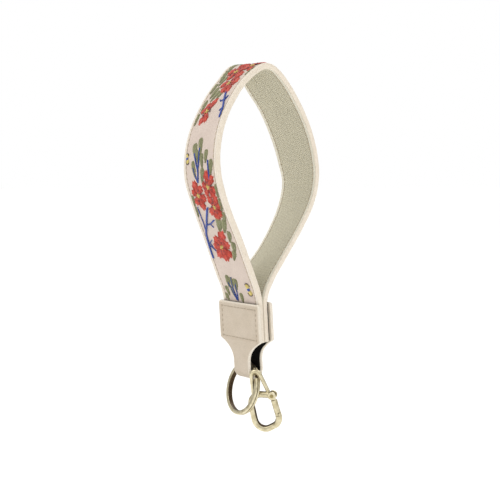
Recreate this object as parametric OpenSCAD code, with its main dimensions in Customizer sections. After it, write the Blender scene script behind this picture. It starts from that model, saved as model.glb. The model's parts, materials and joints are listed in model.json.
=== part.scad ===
// Wristlet keychain: an embroidered, lined strap folded into a wrist loop,
// sewn between the two leaves of a leather tab that holds a split ring and a
// small sprung clip. Millimetres. The origin is the inside of the loop at its
// top, where the loop hangs from a wrist or a hook. +Z is up, the embroidered
// front half faces -Y, and the strap's width runs along X.

/* [Strap] */
// Width of the strap between its cut edges
strap_w = 29.2; // [24:0.2:34]
// Thickness of the embroidered face layer
face_t = 1.2; // [0.8:0.1:1.4]
// Thickness of the stiffener between face and lining
core_t = 1.2; // [0.8:0.1:1.4]
// Thickness of the woven lining
lining_t = 0.8; // [0.5:0.1:0.9]
// How far the edge paint stands out from each cut edge
edge_paint_t = 0.4; // [0.2:0.1:0.6]
// Distance of each row of topstitching from the cut edge
topstitch_inset = 2.2; // [1.6:0.1:3]

/* [Embroidery] */
// Height of one layer of thread on the face
thread_h = 0.15; // [0.1:0.05:0.25]
// Length of strap that one spray of flowers takes before it repeats mirrored
spray_pitch = 76; // [70:1:80]
// Across a full blossom
blossom_d = 9; // [6:0.5:10]
// Across a blossom's centre
blossom_centre_d = 2.6; // [1.5:0.1:4]

/* [Tab] */
// Height of the wide part of each tab leaf
tab_h = 21; // [18:0.5:24]
// Width of the wide part
tab_w = 33.6; // [31:0.2:36]
// Width of the tongue that folds round the split ring
tongue_w = 13; // [11:0.5:13]
// Height over which the wide part narrows to the tongue
shoulder_h = 13; // [10:0.5:14]
// Height from the tab's top edge to the centre of the fold
fold_z = 38.2; // [37:0.1:42]
// Thickness of the leather
leather_t = 1.4; // [1:0.1:1.8]
// Thickness of the black lining inside the tab
tab_lining_t = 0.7; // [0.4:0.1:1]
// How far the tab leans back from the vertical, in degrees
tab_lean = 4; // [0:0.5:6]

/* [Split ring] */
// Outside diameter of the split ring
ring_d = 30; // [29:0.5:31]
// Radial width of its wire
ring_wire_w = 2.4; // [2:0.1:2.6]
// Thickness of one coil along the ring's axis
ring_coil_t = 1.5; // [1.2:0.1:1.6]
// How far the ring leans forward at rest, in degrees
ring_tilt = 15; // [10:1:18]
// How far the ring is turned in the fold at rest, in degrees
ring_yaw = -10; // [-12:1:0]

/* [Clip] */
// Diameter of the bar that the hook is cast with
bar_d = 3.7; // [3.4:0.1:3.8]
// Diameter of the bar round the eye
eye_bar_d = 2.3; // [2:0.1:2.4]
// Diameter of the gate
gate_d = 3.5; // [3.2:0.1:3.6]
// Diameter of the gate's hinge pin
gate_pin_d = 1.2; // [1:0.1:1.4]

/* [Hidden] */

// How finely strips along the strap and patches of thread are divided
ring_step = 2;
patch_step = 1.5;
layer_gap = 0.05;
face_clearance = 0.16;

strap_t = lining_t + core_t + face_t;
tab_top_z = -126.5;
clearance = 0.05;

// The loop. Each row is [near y, near z, far y, far z]: the inner surface of the
// strap at its near (+X) and far (-X) edge, from one hidden end up the front,
// over the top and down the back to the other hidden end.
loop_x = 15;
tuck = tan(tab_lean);
tucked = [21.5, 16, 11, 6, 2];
gap = 0.06;
front_end = [for (d = tucked) [d * tuck - gap, tab_top_z - d, d * tuck - gap, tab_top_z - d]];
back_end = [for (i = [4:-1:0]) let (r = front_end[i]) r + [2 * gap, 0, 2 * gap, 0]];
loop_rows = concat(front_end, [
    [-0.45, -124, -0.45, -124], [-2.2, -118, -2.4, -118], [-5.7, -110, -6.2, -110],
    [-14, -92, -14, -92], [-23.5, -73, -22.5, -73],
    [-29, -57, -27.5, -59], [-29.5, -43, -27.5, -46], [-25.5, -28.5, -23.5, -32.5],
    [-16, -13.5, -15, -18], [-5.5, -4, -6.5, -8], [4.5, 0, 4.5, 1.5], [14, -5, 14.5, -9],
    [25, -17, 25, -21], [34, -31, 34, -36.5], [39.5, -46, 39.5, -50], [40.5, -59, 42.5, -61.5],
    [36.5, -72, 39, -75], [27.5, -85.5, 31, -89], [17.5, -98, 21, -101.5], [7.7, -110, 9.2, -112],
    [2.6, -118, 3, -118.5], [0.45, -124, 0.45, -124]], back_end);
last_row = len(loop_rows) - 1;

// A smooth curve through the rows, at t from 0 to last_row
function row_at(i) = loop_rows[max(0, min(last_row, i))];
function loop_at(t) =
    let (i = min(last_row - 1, floor(t)), u = t - i,
        a = row_at(i - 1), b = row_at(i), c = row_at(i + 1), d = row_at(i + 2))
    0.5 * (2 * b + (c - a) * u + (2 * a - 5 * b + 4 * c - d) * u * u
        + (3 * b - a - 3 * c + d) * u * u * u);
function middle(t) = let (r = loop_at(t)) [(r[0] + r[2]) / 2, (r[1] + r[3]) / 2];

// Distance along the strap against t, so that pieces are placed in millimetres
table_steps = 20 * last_row;
along = [for (i = 0, s = 0; i <= table_steps;
    s = s + norm(middle((i + 1) / 20) - middle(i / 20)), i = i + 1) [s, i / 20]];
strap_len = along[table_steps][0];

// A point on the strap: s along it, x across it, h above its inner surface
function outward(t) =
    let (e = 0.02, d = middle(min(last_row, t + e)) - middle(max(0, t - e)))
    [-d[1], d[0]] / norm(d);
function on_strap(s, x, h) =
    let (t = lookup(s, along), r = loop_at(t), f = x / loop_x / 2 + 0.5, n = outward(t))
    [x, r[0] * f + r[2] * (1 - f) + n[0] * h, r[1] * f + r[3] * (1 - f) + n[1] * h];

// A closed strip of the strap between heights h0 and h1, through rows of [s, x0, x1]
module strip(rows, h0, h1) {
    n = len(rows) - 1;
    points = [for (r = rows) each [on_strap(r[0], r[1], h0), on_strap(r[0], r[2], h0),
        on_strap(r[0], r[2], h1), on_strap(r[0], r[1], h1)]];
    sides = [for (i = [0:n - 1], k = [0:3])
        let (a = 4 * i + k, b = 4 * i + (k + 1) % 4)
        each k < 2 ? [[a, b, b + 4], [a, b + 4, a + 4]] : [[a, b, a + 4], [b, b + 4, a + 4]]];
    polyhedron(points, concat([[3, 2, 1, 0]], sides,
        [[4 * n, 4 * n + 1, 4 * n + 2, 4 * n + 3]]));
}
module ribbon(s0, s1, x0, x1, h0, h1) {
    n = ceil((s1 - s0) / ring_step);
    strip([for (i = [0:n]) [s0 + (s1 - s0) * i / n, x0, x1]], h0, h1);
}
// An oval patch of thread; its length leans by angle away from the strap's run
module patch(s, x, length, width, angle, layer) {
    n = max(4, ceil(length / patch_step));
    strip([for (i = [0:n]) let (u = 0.98 * (2 * i / n - 1), w = width / 2 * sqrt(1 - u * u),
        c = x + tan(angle) * u * length / 2) [s + u * length / 2, c - w, c + w]],
        layer_h(layer), layer_h(layer) + thread_h);
}
function layer_h(k) = strap_t + face_clearance + k * (thread_h + layer_gap);

// One spray of flowers, measured down from its top and across the strap.
// Blossoms are [down, x, size]
blossom_spots = [[19, 5.6, 1], [25.5, -4, 1], [31.5, 6.2, 1], [56, 0.5, 1.25]];
// Leaves are [down, x, length, width, angle]
leaf_spots = [[2, -5, 7, 2.2, 8], [2, -1, 8, 2, 0], [8, 3.5, 7, 2.2, 8], [9, 9.5, 6, 2.2, -6],
    [12, -6.4, 7, 2, 4], [15.5, -0.4, 5, 2, 10], [16, 11.6, 6, 2, 0], [24, 12, 5, 2.2, 0],
    [31, 12, 5.5, 2.2, 0], [39, 8.8, 6, 3, 20], [44.6, 3.4, 6, 3, 20], [47, 9.4, 6, 2.4, 8],
    [54.5, 9.2, 6, 2.6, 10], [61, 7.4, 4.5, 2.4, 20], [36, -11.6, 6, 2, -8]];
// Branches are runs of [down, x]
branch_runs = [[[20, -3.4], [11, -0.8], [3, -1.6]], [[16, 8.2], [9, 7.4]],
    [[66, -11.4], [58, -12], [50, -10.4], [42, -6.6], [34, -2]],
    [[47, -10.4], [43, -11], [35, -8.8]], [[43.2, -5], [41.6, -2], [39, 0.4]],
    [[57, -9], [56, -7], [54, -4.6]]];
branch_w = 0.9;
butterfly_spot = [6, -11.6];
// Each spray is [s of its top, which way it faces across the strap]
spray_tops = [for (i = [0:4]) [37 + spray_pitch * i, i % 2 == 0 ? -1 : 1]];
sewn_from = 24;
sewn_to = strap_len - 24;
margin_w = strap_w / 2 - topstitch_inset - 0.4;
function in_reach(s, margin) = s > sewn_from + margin && s < sewn_to - margin;
function held_in(x, half) = max(-margin_w + half, min(margin_w - half, x));

// The tab and what hangs in its fold
tab_gap = 2 * strap_t + 6 * gap;
fold_r = tab_gap / 2;
tab_t = leather_t + tab_lining_t;
stitch_l = 2.2;
stitch_pitch = 3.1;
stitch_h = 0.3;
stitch_margin = 2.8;
ring_mid_r = (ring_d - ring_wire_w) / 2;
ring_x = -1;
ring_seat = 0.1;
ring_drop = sqrt(pow(ring_mid_r, 2) - pow(tongue_w / 2 - ring_x, 2));
ring_end_gap = 6;
fold_y = fold_z * sin(tab_lean);
fold_world_z = tab_top_z - fold_z * cos(tab_lean);

// The clip, drawn in its own plane and moved there so that its eye clears the
// wire of the ring and the tongue of the tab
eye_shift = [1.4, -0.2, -1.2];
eye_at = 30;
clip_yaw = 30;
clip_tilt = 7;
knuckle = [7.3, -6.9];
knuckle_r = 2.3;
cheek_t = 1;
tongue_t = 1.1;
spring_wire = 0.3;
spring_r = 1.05;
nose = [10.43, -18.45];
gate_len = norm(nose - knuckle);
gate_lean = atan2(nose[0] - knuckle[0], knuckle[1] - nose[1]);
lip_l = 1.5;

module in_tab() translate([0, 0, tab_top_z]) rotate([tab_lean, 0, 0]) children();
module in_ring() translate([ring_x, fold_y, fold_world_z - ring_seat]) rotate([0, 0, ring_yaw])
    rotate([-ring_tilt, 0, 0]) translate([0, 0, -ring_drop]) rotate([90, 0, 0]) children();
// The clip's plane hangs upright from the point of the ring that its eye holds
module in_clip() {
    c = ring_mid_r * cos(eye_at);
    v = ring_mid_r * sin(eye_at) - ring_drop;
    translate([ring_x, fold_y, fold_world_z - ring_seat])
        translate([c * cos(ring_yaw) - v * sin(ring_tilt) * sin(ring_yaw),
            c * sin(ring_yaw) + v * sin(ring_tilt) * cos(ring_yaw), v * cos(ring_tilt)])
            rotate([0, 0, clip_yaw]) rotate([clip_tilt, 0, 0]) translate(eye_shift) children();
}

// ---- Strap ----
module strap_face() color("#D9C8BE")
    ribbon(0, strap_len, -strap_w / 2, strap_w / 2, lining_t + core_t, strap_t);
module strap_core() color("#EFE8DA")
    ribbon(0, strap_len, -strap_w / 2, strap_w / 2, lining_t, lining_t + core_t);
module strap_lining() color("#BDB9A2")
    ribbon(0, strap_len, -strap_w / 2, strap_w / 2, 0, lining_t);
module edge_paint(x) ribbon(0, strap_len, x, x + edge_paint_t, 0, strap_t);
module edge_paint_near() color("#E8DFCE") edge_paint(strap_w / 2);
module edge_paint_far() color("#E8DFCE") edge_paint(-strap_w / 2 - edge_paint_t);

// Each row of topstitching shows on the face and on the lining
module topstitch(x)
    for (h = [[strap_t + 0.1, strap_t + 0.3], [-0.3, -0.1]])
        ribbon(sewn_from, sewn_to, x - 0.3, x + 0.3, h[0], h[1]);
module topstitch_near() color("#D8CBB4") topstitch(strap_w / 2 - topstitch_inset);
module topstitch_far() color("#D8CBB4") topstitch(topstitch_inset - strap_w / 2);

// ---- Embroidery, each colour of thread in its own layer ----
// The points of a run of [down, x], close enough together to follow the strap
function follow(run) = [for (i = [1:len(run) - 1])
    let (a = run[i - 1], b = run[i], n = ceil(abs(b[0] - a[0]) / patch_step))
    each [for (k = [0:n - (i < len(run) - 1 ? 1 : 0)]) a + (b - a) * k / n]];
module embroidered_branches() color("#2F4A9A")
    for (top = spray_tops, run = branch_runs) {
        ends = [top[0] - run[0][0], top[0] - run[len(run) - 1][0]];
        if (in_reach(ends[0], 0) && in_reach(ends[1], 0))
            strip([for (p = follow(run)) let (x = held_in(top[1] * p[1], branch_w))
                [top[0] - p[0], x - branch_w / 2, x + branch_w / 2]],
                layer_h(0), layer_h(0) + thread_h);
    }
module embroidered_leaves() color("#8A8D5A")
    for (top = spray_tops, f = leaf_spots)
        let (s = top[0] - f[0]) if (in_reach(s, f[2] / 2))
            patch(s, held_in(top[1] * f[1], f[3] / 2 + 0.6), f[2], f[3], top[1] * f[4], 1);
module blossom_patches(size, angle, layer)
    for (top = spray_tops, b = blossom_spots)
        let (s = top[0] - b[0], d = blossom_d * b[2]) if (in_reach(s, d / 2))
            patch(s, held_in(top[1] * b[1], d / 2), size * b[2], size * b[2], angle, layer);
module embroidered_blossoms() color("#C8402F") blossom_patches(blossom_d, 0, 2);
module blossom_centres() color("#E3CF6B") blossom_patches(blossom_centre_d, 0, 3);
module embroidered_butterflies() color("#E3CF6B")
    for (top = spray_tops, wing = [-1, 1])
        let (s = top[0] - butterfly_spot[0]) if (in_reach(s, 5))
            patch(s + 2.2 * wing, held_in(top[1] * butterfly_spot[1], 1.6), 4, 3, 0, 0);

// ---- Tab ----
// Half the tab's width at a distance z below its top edge
function shoulder(z) = tongue_w / 2 + (tab_w - tongue_w) / 2
    * pow(max(0, 1 - max(0, z - tab_h) / shoulder_h), 2.5);
corner_cut = 1.5;
module tab_outline() {
    bottom = fold_z + fold_r + tab_t + 1;
    right = [for (z = concat([0, tab_h - corner_cut], [for (i = [1:10]) tab_h + shoulder_h * i / 10],
        [bottom])) [shoulder(z), -z]];
    n = len(right);
    polygon(concat([for (p = right) p], [for (i = [n - 1:-1:0]) [-right[i][0], right[i][1]]]));
}
// A folded sheet that lies between r0 and r1 of the fold's centre plane
module folded(r0, r1) intersection() {
    rotate([90, 0, 90]) translate([0, 0, -tab_w]) linear_extrude(2 * tab_w) difference() {
        union() {
            translate([0, -fold_z]) circle(r = r1, $fn = 48);
            translate([-r1, -fold_z]) square([2 * r1, fold_z]);
        }
        translate([0, -fold_z]) circle(r = r0, $fn = 48);
        translate([-r0, -fold_z]) square([2 * r0, fold_z + 1]);
    }
    rotate([90, 0, 0]) translate([0, 0, -2 * r1]) linear_extrude(4 * r1) tab_outline();
}
module tab_leather() color("#D0C3B2") in_tab() folded(fold_r + tab_lining_t, fold_r + tab_t);
module tab_lining() color("#1A1817") in_tab() folded(fold_r, fold_r + tab_lining_t);

// A box of stitches on one leaf; side is -1 in front and 1 behind
module box_stitching(side) {
    half = tab_w / 2 - stitch_margin;
    y = side * (fold_r + tab_t + stitch_h / 2);
    across = floor(2 * half / stitch_pitch);
    down = floor((tab_h - 2 * stitch_margin + 2) / stitch_pitch);
    for (i = [0:across - 1], z = [stitch_margin, stitch_margin + down * stitch_pitch])
        translate([(i + 0.5 - across / 2) * stitch_pitch, y, -z])
            cube([stitch_l, stitch_h, 0.5], center = true);
    for (i = [0:down - 1], x = [-1, 1])
        translate([x * across * stitch_pitch / 2, y, -stitch_margin - (i + 0.5) * stitch_pitch])
            cube([0.5, stitch_h, stitch_l], center = true);
}
module tab_stitching_front() color("#C9BCA4") in_tab() box_stitching(-1);
module tab_stitching_back() color("#C9BCA4") in_tab() box_stitching(1);

// ---- Split ring ----
// Half of the wire's section, flattened where the coils meet
module coil_section(side) translate([ring_mid_r, 0]) {
    e = 0.35;
    w = ring_wire_w / 2;
    t = ring_coil_t;
    polygon([[-w, 0], [w, 0], [w, side * (t - e)], [w - e, side * t], [e - w, side * t],
        [-w, side * (t - e)]]);
}
module coil(side, from, sweep) rotate([0, 0, from])
    rotate_extrude(angle = sweep, $fn = 96) coil_section(side);
module split_ring() color("#C9BC93") in_ring() {
    coil(1, eye_at + 14, 360 - ring_end_gap);
    coil(-1, eye_at + 14 + 180, 360 - ring_end_gap);
}

// ---- Clip ----
module in_clip_plane() in_clip() rotate([90, 0, 0]) children();
// A round bar laid down step by step: [length] runs straight on, [radius, angle]
// turns to the left. The straights are a hair slimmer than the bends and run a
// little way into them. Children are placed at the bar's end.
run_in = 0.4;
slimmer = 0.1;
module bar(steps, d, i = 0) {
    if (i == len(steps)) children();
    else if (len(steps[i]) == 1) {
        translate([-run_in, 0, 0]) rotate([0, 90, 0])
            cylinder(d = d - slimmer, h = steps[i][0] + 2 * run_in, $fn = 40);
        translate([steps[i][0], 0, 0]) bar(steps, d, i + 1) children();
    } else {
        r = steps[i][0];
        translate([0, r, 0]) rotate([0, 0, -90])
            rotate_extrude(angle = steps[i][1], $fn = 96) translate([r, 0]) circle(d = d, $fn = 40);
        translate([0, r, 0]) rotate([0, 0, steps[i][1]]) translate([0, -r, 0])
            bar(steps, d, i + 1) children();
    }
}
hook_steps = [[6.5], [5.9, 101], [8.3], [5.8, 109], [3.12], [5.4, 74]];
eye_steps = [[11.5], [2.6, 160], [11.5]];
eye_foot = [5.3, -5.8];
knuckle_w = bar_d + 0.2;
slot_w = knuckle_w - 2 * cheek_t;

module clip_body() color("#C9BC93") in_clip_plane() difference() {
    union() {
        translate(knuckle) rotate([0, 0, 180]) bar(hook_steps, bar_d) nose_lip();
        translate(eye_foot) rotate([0, 0, 115]) bar(eye_steps, eye_bar_d);
        translate(knuckle) cylinder(r = knuckle_r, h = knuckle_w, center = true, $fn = 48);
    }
    translate(knuckle) {
        cylinder(r = knuckle_r + 0.4, h = slot_w, center = true, $fn = 48);
        cylinder(d = gate_pin_d + 0.02, h = 2 * bar_d, center = true, $fn = 32);
    }
}
// The lip stands outside the gate's end and stops it there
module nose_lip() intersection() {
    translate([-run_in, 0, 0]) rotate([0, 90, 0])
        cylinder(d = bar_d - slimmer, h = lip_l + run_in, $fn = 40);
    translate([-1, -bar_d, -bar_d]) cube([lip_l + 2, bar_d - 0.5, 2 * bar_d]);
}

module in_gate() in_clip_plane() translate(knuckle) rotate([0, 0, gate_lean - 90]) children();
module clip_gate() color("#BFB189") in_gate() difference() {
    union() {
        translate([knuckle_r + 0.5, 0, 0]) rotate([0, 90, 0])
            cylinder(d = gate_d, h = gate_len - knuckle_r - 0.5 - 0.15, $fn = 40);
        translate([0, 0, tongue_z]) cylinder(r = 1.8, h = tongue_t, $fn = 40);
        translate([0, -1.2, tongue_z]) cube([knuckle_r + 1, 2.4, tongue_t]);
    }
    translate([0, 0, -bar_d]) cylinder(d = gate_pin_d + 2 * clearance, h = 2 * bar_d, $fn = 32);
    translate([gate_len - lip_l - 0.3, 0.4, -bar_d]) cube([lip_l + 1, bar_d, 2 * bar_d]);
}
tongue_z = slot_w / 2 - clearance - tongue_t;

module gate_pin() color("#8F8468") in_clip_plane() translate(knuckle) {
    cylinder(d = gate_pin_d, h = knuckle_w, center = true, $fn = 32);
    for (side = [-1, 1]) translate([0, 0, side * (knuckle_w / 2 + pin_head_t / 2)])
        cylinder(d = 2 * gate_pin_d - 0.4, h = pin_head_t, center = true, $fn = 32);
}
pin_head_t = 0.25;

// Two turns of wire beside the gate's tongue, with a leg on the hook and one on the gate
module gate_spring() color("#A8A59C") in_clip_plane() translate(knuckle)
    translate([0, 0, spring_wire + clearance - slot_w / 2]) {
        for (turn = [-0.4, 0.4]) translate([0, 0, turn * spring_wire])
            rotate_extrude($fn = 48) translate([spring_r, 0]) circle(d = spring_wire, $fn = 16);
        translate([0, spring_r, spring_wire / 2]) rotate([0, -90, 0])
            cylinder(d = spring_wire, h = spring_leg, $fn = 16);
        rotate([0, 0, gate_lean - 90]) translate([0, -spring_r, -spring_wire / 2])
            rotate([0, 90, 0]) cylinder(d = spring_wire, h = spring_leg, $fn = 16);
    }
spring_leg = 1.9;

strap_face();
strap_core();
strap_lining();
edge_paint_near();
edge_paint_far();
topstitch_near();
topstitch_far();
embroidered_blossoms();
blossom_centres();
embroidered_leaves();
embroidered_branches();
embroidered_butterflies();
tab_leather();
tab_lining();
tab_stitching_front();
tab_stitching_back();
split_ring();
clip_body();
clip_gate();
gate_pin();
gate_spring();
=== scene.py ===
import json
import math
import random

import bmesh
import bpy
import numpy as np
from mathutils import Matrix, Vector


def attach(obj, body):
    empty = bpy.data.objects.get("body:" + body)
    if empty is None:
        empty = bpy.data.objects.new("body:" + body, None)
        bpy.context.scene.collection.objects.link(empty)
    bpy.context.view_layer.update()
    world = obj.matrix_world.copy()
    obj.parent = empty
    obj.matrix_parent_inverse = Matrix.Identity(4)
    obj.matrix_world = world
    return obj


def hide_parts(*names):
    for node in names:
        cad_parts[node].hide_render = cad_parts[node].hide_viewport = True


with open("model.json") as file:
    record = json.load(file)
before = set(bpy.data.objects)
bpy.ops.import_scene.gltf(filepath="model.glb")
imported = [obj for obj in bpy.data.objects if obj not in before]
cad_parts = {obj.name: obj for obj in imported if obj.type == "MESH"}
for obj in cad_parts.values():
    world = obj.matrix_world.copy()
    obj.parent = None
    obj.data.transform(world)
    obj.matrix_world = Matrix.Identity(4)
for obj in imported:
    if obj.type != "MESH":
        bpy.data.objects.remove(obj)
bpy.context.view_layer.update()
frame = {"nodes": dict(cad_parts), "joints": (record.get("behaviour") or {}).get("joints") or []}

bl_info = {
    "name": "Embroidered wristlet keychain",
    "version": (1, 0, 0),
    "blender": (4, 5, 0),
    "location": "3D View > Sidebar > Wristlet",
    "description": "Builds the strap, its embroidery, the leather tab and the brass hardware",
    "category": "Add Mesh",
}

MM = 0.001
JOINTS = {joint["name"]: joint for joint in frame["joints"]}

# ---- Sizes shared with the solid model, in millimetres ----
STRAP_W = 29.2
LINING_T = 0.8
CORE_T = 1.2
FACE_T = 1.2
STRAP_T = LINING_T + CORE_T + FACE_T
EDGE_T = 0.4
STITCH_INSET = 2.2
TAB_TOP = -126.5
TAB_LEAN = math.radians(4)
TUCK = math.tan(TAB_LEAN)
TUCK_GAP = 0.06
LOOP_X = 15.0


def loop_rows():
    """Inner surface of the strap: near y, near z, far y, far z, from hidden end to hidden end."""
    front = [[d * TUCK - TUCK_GAP, TAB_TOP - d] * 2 for d in (21.5, 16, 11, 6, 2)]
    back = [[r[0] + 2 * TUCK_GAP, r[1]] * 2 for r in reversed(front)]
    free = [
        [-0.45, -124, -0.45, -124], [-2.2, -118, -2.4, -118], [-5.7, -110, -6.2, -110],
        [-14, -92, -14, -92], [-23.5, -73, -22.5, -73], [-29, -57, -27.5, -59],
        [-29.5, -43, -27.5, -46], [-25.5, -28.5, -23.5, -32.5], [-16, -13.5, -15, -18],
        [-5.5, -4, -6.5, -8], [4.5, 0, 4.5, 1.5], [14, -5, 14.5, -9], [25, -17, 25, -21],
        [34, -31, 34, -36.5], [39.5, -46, 39.5, -50], [40.5, -59, 42.5, -61.5],
        [36.5, -72, 39, -75], [27.5, -85.5, 31, -89], [17.5, -98, 21, -101.5],
        [7.7, -110, 9.2, -112], [2.6, -118, 3, -118.5], [0.45, -124, 0.45, -124],
    ]
    return np.array(front + free + back, float)


LOOP = loop_rows()
LAST_ROW = len(LOOP) - 1


def loop_at(t):
    """The smooth curve through the rows, at t from 0 to LAST_ROW."""
    i = np.clip(np.floor(t).astype(int), 0, LAST_ROW - 1)
    u = (t - i)[..., None]
    a, b, c, d = (LOOP[np.clip(i + k, 0, LAST_ROW)] for k in (-1, 0, 1, 2))
    return 0.5 * (2 * b + (c - a) * u + (2 * a - 5 * b + 4 * c - d) * u ** 2
                  + (3 * b - a - 3 * c + d) * u ** 3)


def middle(t):
    row = loop_at(t)
    return (row[..., :2] + row[..., 2:]) / 2


TABLE_T = np.linspace(0, LAST_ROW, 20 * LAST_ROW + 1)
TABLE_STEPS = np.linalg.norm(np.diff(middle(TABLE_T), axis=0), axis=1)
TABLE_S = np.concatenate([[0], np.cumsum(TABLE_STEPS)])
STRAP_LEN = float(TABLE_S[-1])


def on_strap(s, x, h):
    """Points on the strap: s along it, x across it, h above its inner surface, in metres."""
    s, x, h = np.broadcast_arrays(*(np.asarray(v, float) for v in (s, x, h)))
    t = np.interp(s, TABLE_S, TABLE_T)
    row = loop_at(t)
    f = (x / LOOP_X / 2 + 0.5)[..., None]
    reach = 0.12  # how far either side of t the strap's direction is taken
    run = middle(np.minimum(t + reach, LAST_ROW)) - middle(np.maximum(t - reach, 0))
    run /= np.linalg.norm(run, axis=-1)[..., None]
    out = np.stack([-run[..., 1], run[..., 0]], -1)
    yz = row[..., :2] * f + row[..., 2:] * (1 - f) + out * h[..., None]
    return np.concatenate([x[..., None], yz], -1) * MM


# ---- The tab's folded sheet ----
TAB_W = 33.6
TAB_H = 21.0
TONGUE_W = 13.0
SHOULDER_H = 13.0
SHOULDER_CURVE = 2.5   # how sharply the shoulders draw in to the tongue
TAB_CORNER = 1.6
TAB_END_R = 0.8        # rounding of the sheet's two top edges
LEATHER_T = 1.4
TAB_LINING_T = 0.7
LEAF_GAP = 3.40     # from the tab's middle plane to the lining, where the strap is sewn in
TONGUE_GAP = 3.38   # the same at the tongue, wide enough for the ring to swing
GAP_CHANGES = (18.5, 31)   # depths between which one gap becomes the other
FOLD_Z = 38.2
FOLD_LEN = math.pi * TONGUE_GAP
SHEET_LEN = 2 * FOLD_Z + FOLD_LEN


def smooth_step(x, lo, hi):
    u = np.clip((np.asarray(x, float) - lo) / (hi - lo), 0, 1)
    return u * u * (3 - 2 * u)


def leaf_depth(v):
    """Distance below the tab's top edge of a point v along the folded sheet."""
    return np.minimum(np.minimum(v, SHEET_LEN - v), FOLD_Z)


def half_width(v):
    """Half the sheet's width at v along it, with its corners rounded."""
    z = leaf_depth(v)
    taper = np.clip(1 - np.maximum(0, z - TAB_H) / SHOULDER_H, 0, 1)
    taper = taper ** SHOULDER_CURVE
    past = np.maximum(0, TAB_CORNER - z)
    cut = TAB_CORNER - np.sqrt(np.maximum(0, TAB_CORNER ** 2 - past ** 2))
    return TONGUE_W / 2 + (TAB_W - TONGUE_W) / 2 * taper - cut


def on_tab(v, x, h):
    """Points on the folded sheet: v along it, x across it, h outside the gap, in metres."""
    v, x, h = np.broadcast_arrays(*(np.asarray(a, float) for a in (v, x, h)))

    def spine(v):
        z = leaf_depth(v)
        gap = LEAF_GAP + (TONGUE_GAP - LEAF_GAP) * smooth_step(z, *GAP_CHANGES)
        turn = np.clip((v - FOLD_Z) / TONGUE_GAP, 0, math.pi)
        return np.stack([-gap * np.cos(turn), -z - TONGUE_GAP * np.sin(turn)], -1)

    reach = 0.2  # millimetres either side of v over which the sheet's direction is taken
    run = spine(np.minimum(v + reach, SHEET_LEN)) - spine(np.maximum(v - reach, 0))
    run /= np.linalg.norm(run, axis=-1)[..., None]
    yz = spine(v) + np.stack([run[..., 1], -run[..., 0]], -1) * h[..., None]
    y = yz[..., 0] * math.cos(TAB_LEAN) - yz[..., 1] * math.sin(TAB_LEAN)
    z = yz[..., 0] * math.sin(TAB_LEAN) + yz[..., 1] * math.cos(TAB_LEAN) + TAB_TOP
    return np.stack([x, y, z], -1) * MM


# ---- Small tools ----
def srgb(code):
    """An sRGB hex colour as linear RGBA."""
    parts = [int(code[i:i + 2], 16) / 255 for i in (1, 3, 5)]
    return (*(c / 12.92 if c <= 0.04045 else ((c + 0.055) / 1.055) ** 2.4 for c in parts), 1)


def fill(tree, node, inputs):
    """Fills a node's inputs with values or links."""
    for key, value in inputs.items():
        if isinstance(value, bpy.types.NodeSocket):
            tree.links.new(value, node.inputs[key])
        else:
            node.inputs[key].default_value = value


def add(tree, kind, inputs=None, **settings):
    """Adds a node, sets its properties, then fills its inputs."""
    made = tree.nodes.new(kind)
    for key, value in settings.items():
        setattr(made, key, value)
    fill(tree, made, inputs or {})
    return made


def maths(tree, operation, *values):
    """The result of a maths node on numbers or sockets."""
    return add(tree, "ShaderNodeMath", dict(enumerate(values)), operation=operation).outputs[0]


def new_object(name, mesh, material):
    """A piece at the origin, with its place in its mesh and its faces smooth."""
    piece = bpy.data.objects.new(name, mesh)
    bpy.context.scene.collection.objects.link(piece)
    mesh.materials.clear()
    mesh.materials.append(material)
    mesh.polygons.foreach_set("use_smooth", [True] * len(mesh.polygons))
    return piece


def finish_piece(piece, body, slot, *nodes):
    """Rides the piece on its body and hides the nodes that it stands for; its slot is not used.
    """
    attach(piece, body)
    if nodes:
        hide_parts(*nodes)


def sweep(name, rows, section, place, material, edge=None):
    """A closed mesh through rows: section(row) gives its outline, place(row, x, h) its points.

    Its UV map is the distance along and across in metres; edge(row, x, h) fills the
    attribute of that name.
    """
    outlines = [section(r) for r in rows]
    n = len(outlines[0])
    flat = np.concatenate(outlines)
    row_of = np.repeat(rows, n)
    points = place(row_of, flat[:, 0], flat[:, 1])
    first, last = points[:n].mean(0), points[-n:].mean(0)
    verts = np.concatenate([points, [first, last]])
    i, k = np.meshgrid(np.arange(len(rows) - 1), np.arange(n), indexing="ij")
    a, b = i * n + k, i * n + (k + 1) % n
    faces = np.stack([a, b, b + n, a + n], -1).reshape(-1, 4).tolist()
    end = (len(rows) - 1) * n
    tip = len(points)
    faces += [[(j + 1) % n, j, tip] for j in range(n)]
    faces += [[end + j, end + (j + 1) % n, tip + 1] for j in range(n)]
    mesh = bpy.data.meshes.new(name)
    mesh.from_pydata(verts.tolist(), [], faces)
    across = np.concatenate([flat[:, 0], [0, 0]])
    along = np.concatenate([row_of, [rows[0], rows[-1]]])
    uv = mesh.uv_layers.new(name="sheet")
    corner = np.empty(len(mesh.loops), int)
    mesh.loops.foreach_get("vertex_index", corner)
    uv.data.foreach_set("uv", np.stack([along[corner], across[corner]], -1).ravel() * MM)
    if edge is not None:
        height = np.concatenate([flat[:, 1], [0, 0]])
        shade = mesh.attributes.new("edge", "FLOAT", "POINT")
        shade.data.foreach_set("value", np.asarray(edge(along, across, height), float))
    work = bmesh.new()
    work.from_mesh(mesh)
    bmesh.ops.recalc_face_normals(work, faces=work.faces)
    work.to_mesh(mesh)
    work.free()
    return new_object(name, mesh, material)


def rounded_ends(length, step, round_r):
    """Row positions along a length, closer together where the ends are rounded."""
    near = [0, 0.06 * round_r, 0.2 * round_r, 0.45 * round_r, 0.75 * round_r, round_r]
    inner = np.linspace(round_r, length - round_r, max(2, int(length / step)))[1:-1]
    return np.array(near + list(inner) + [length - d for d in reversed(near)])


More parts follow.
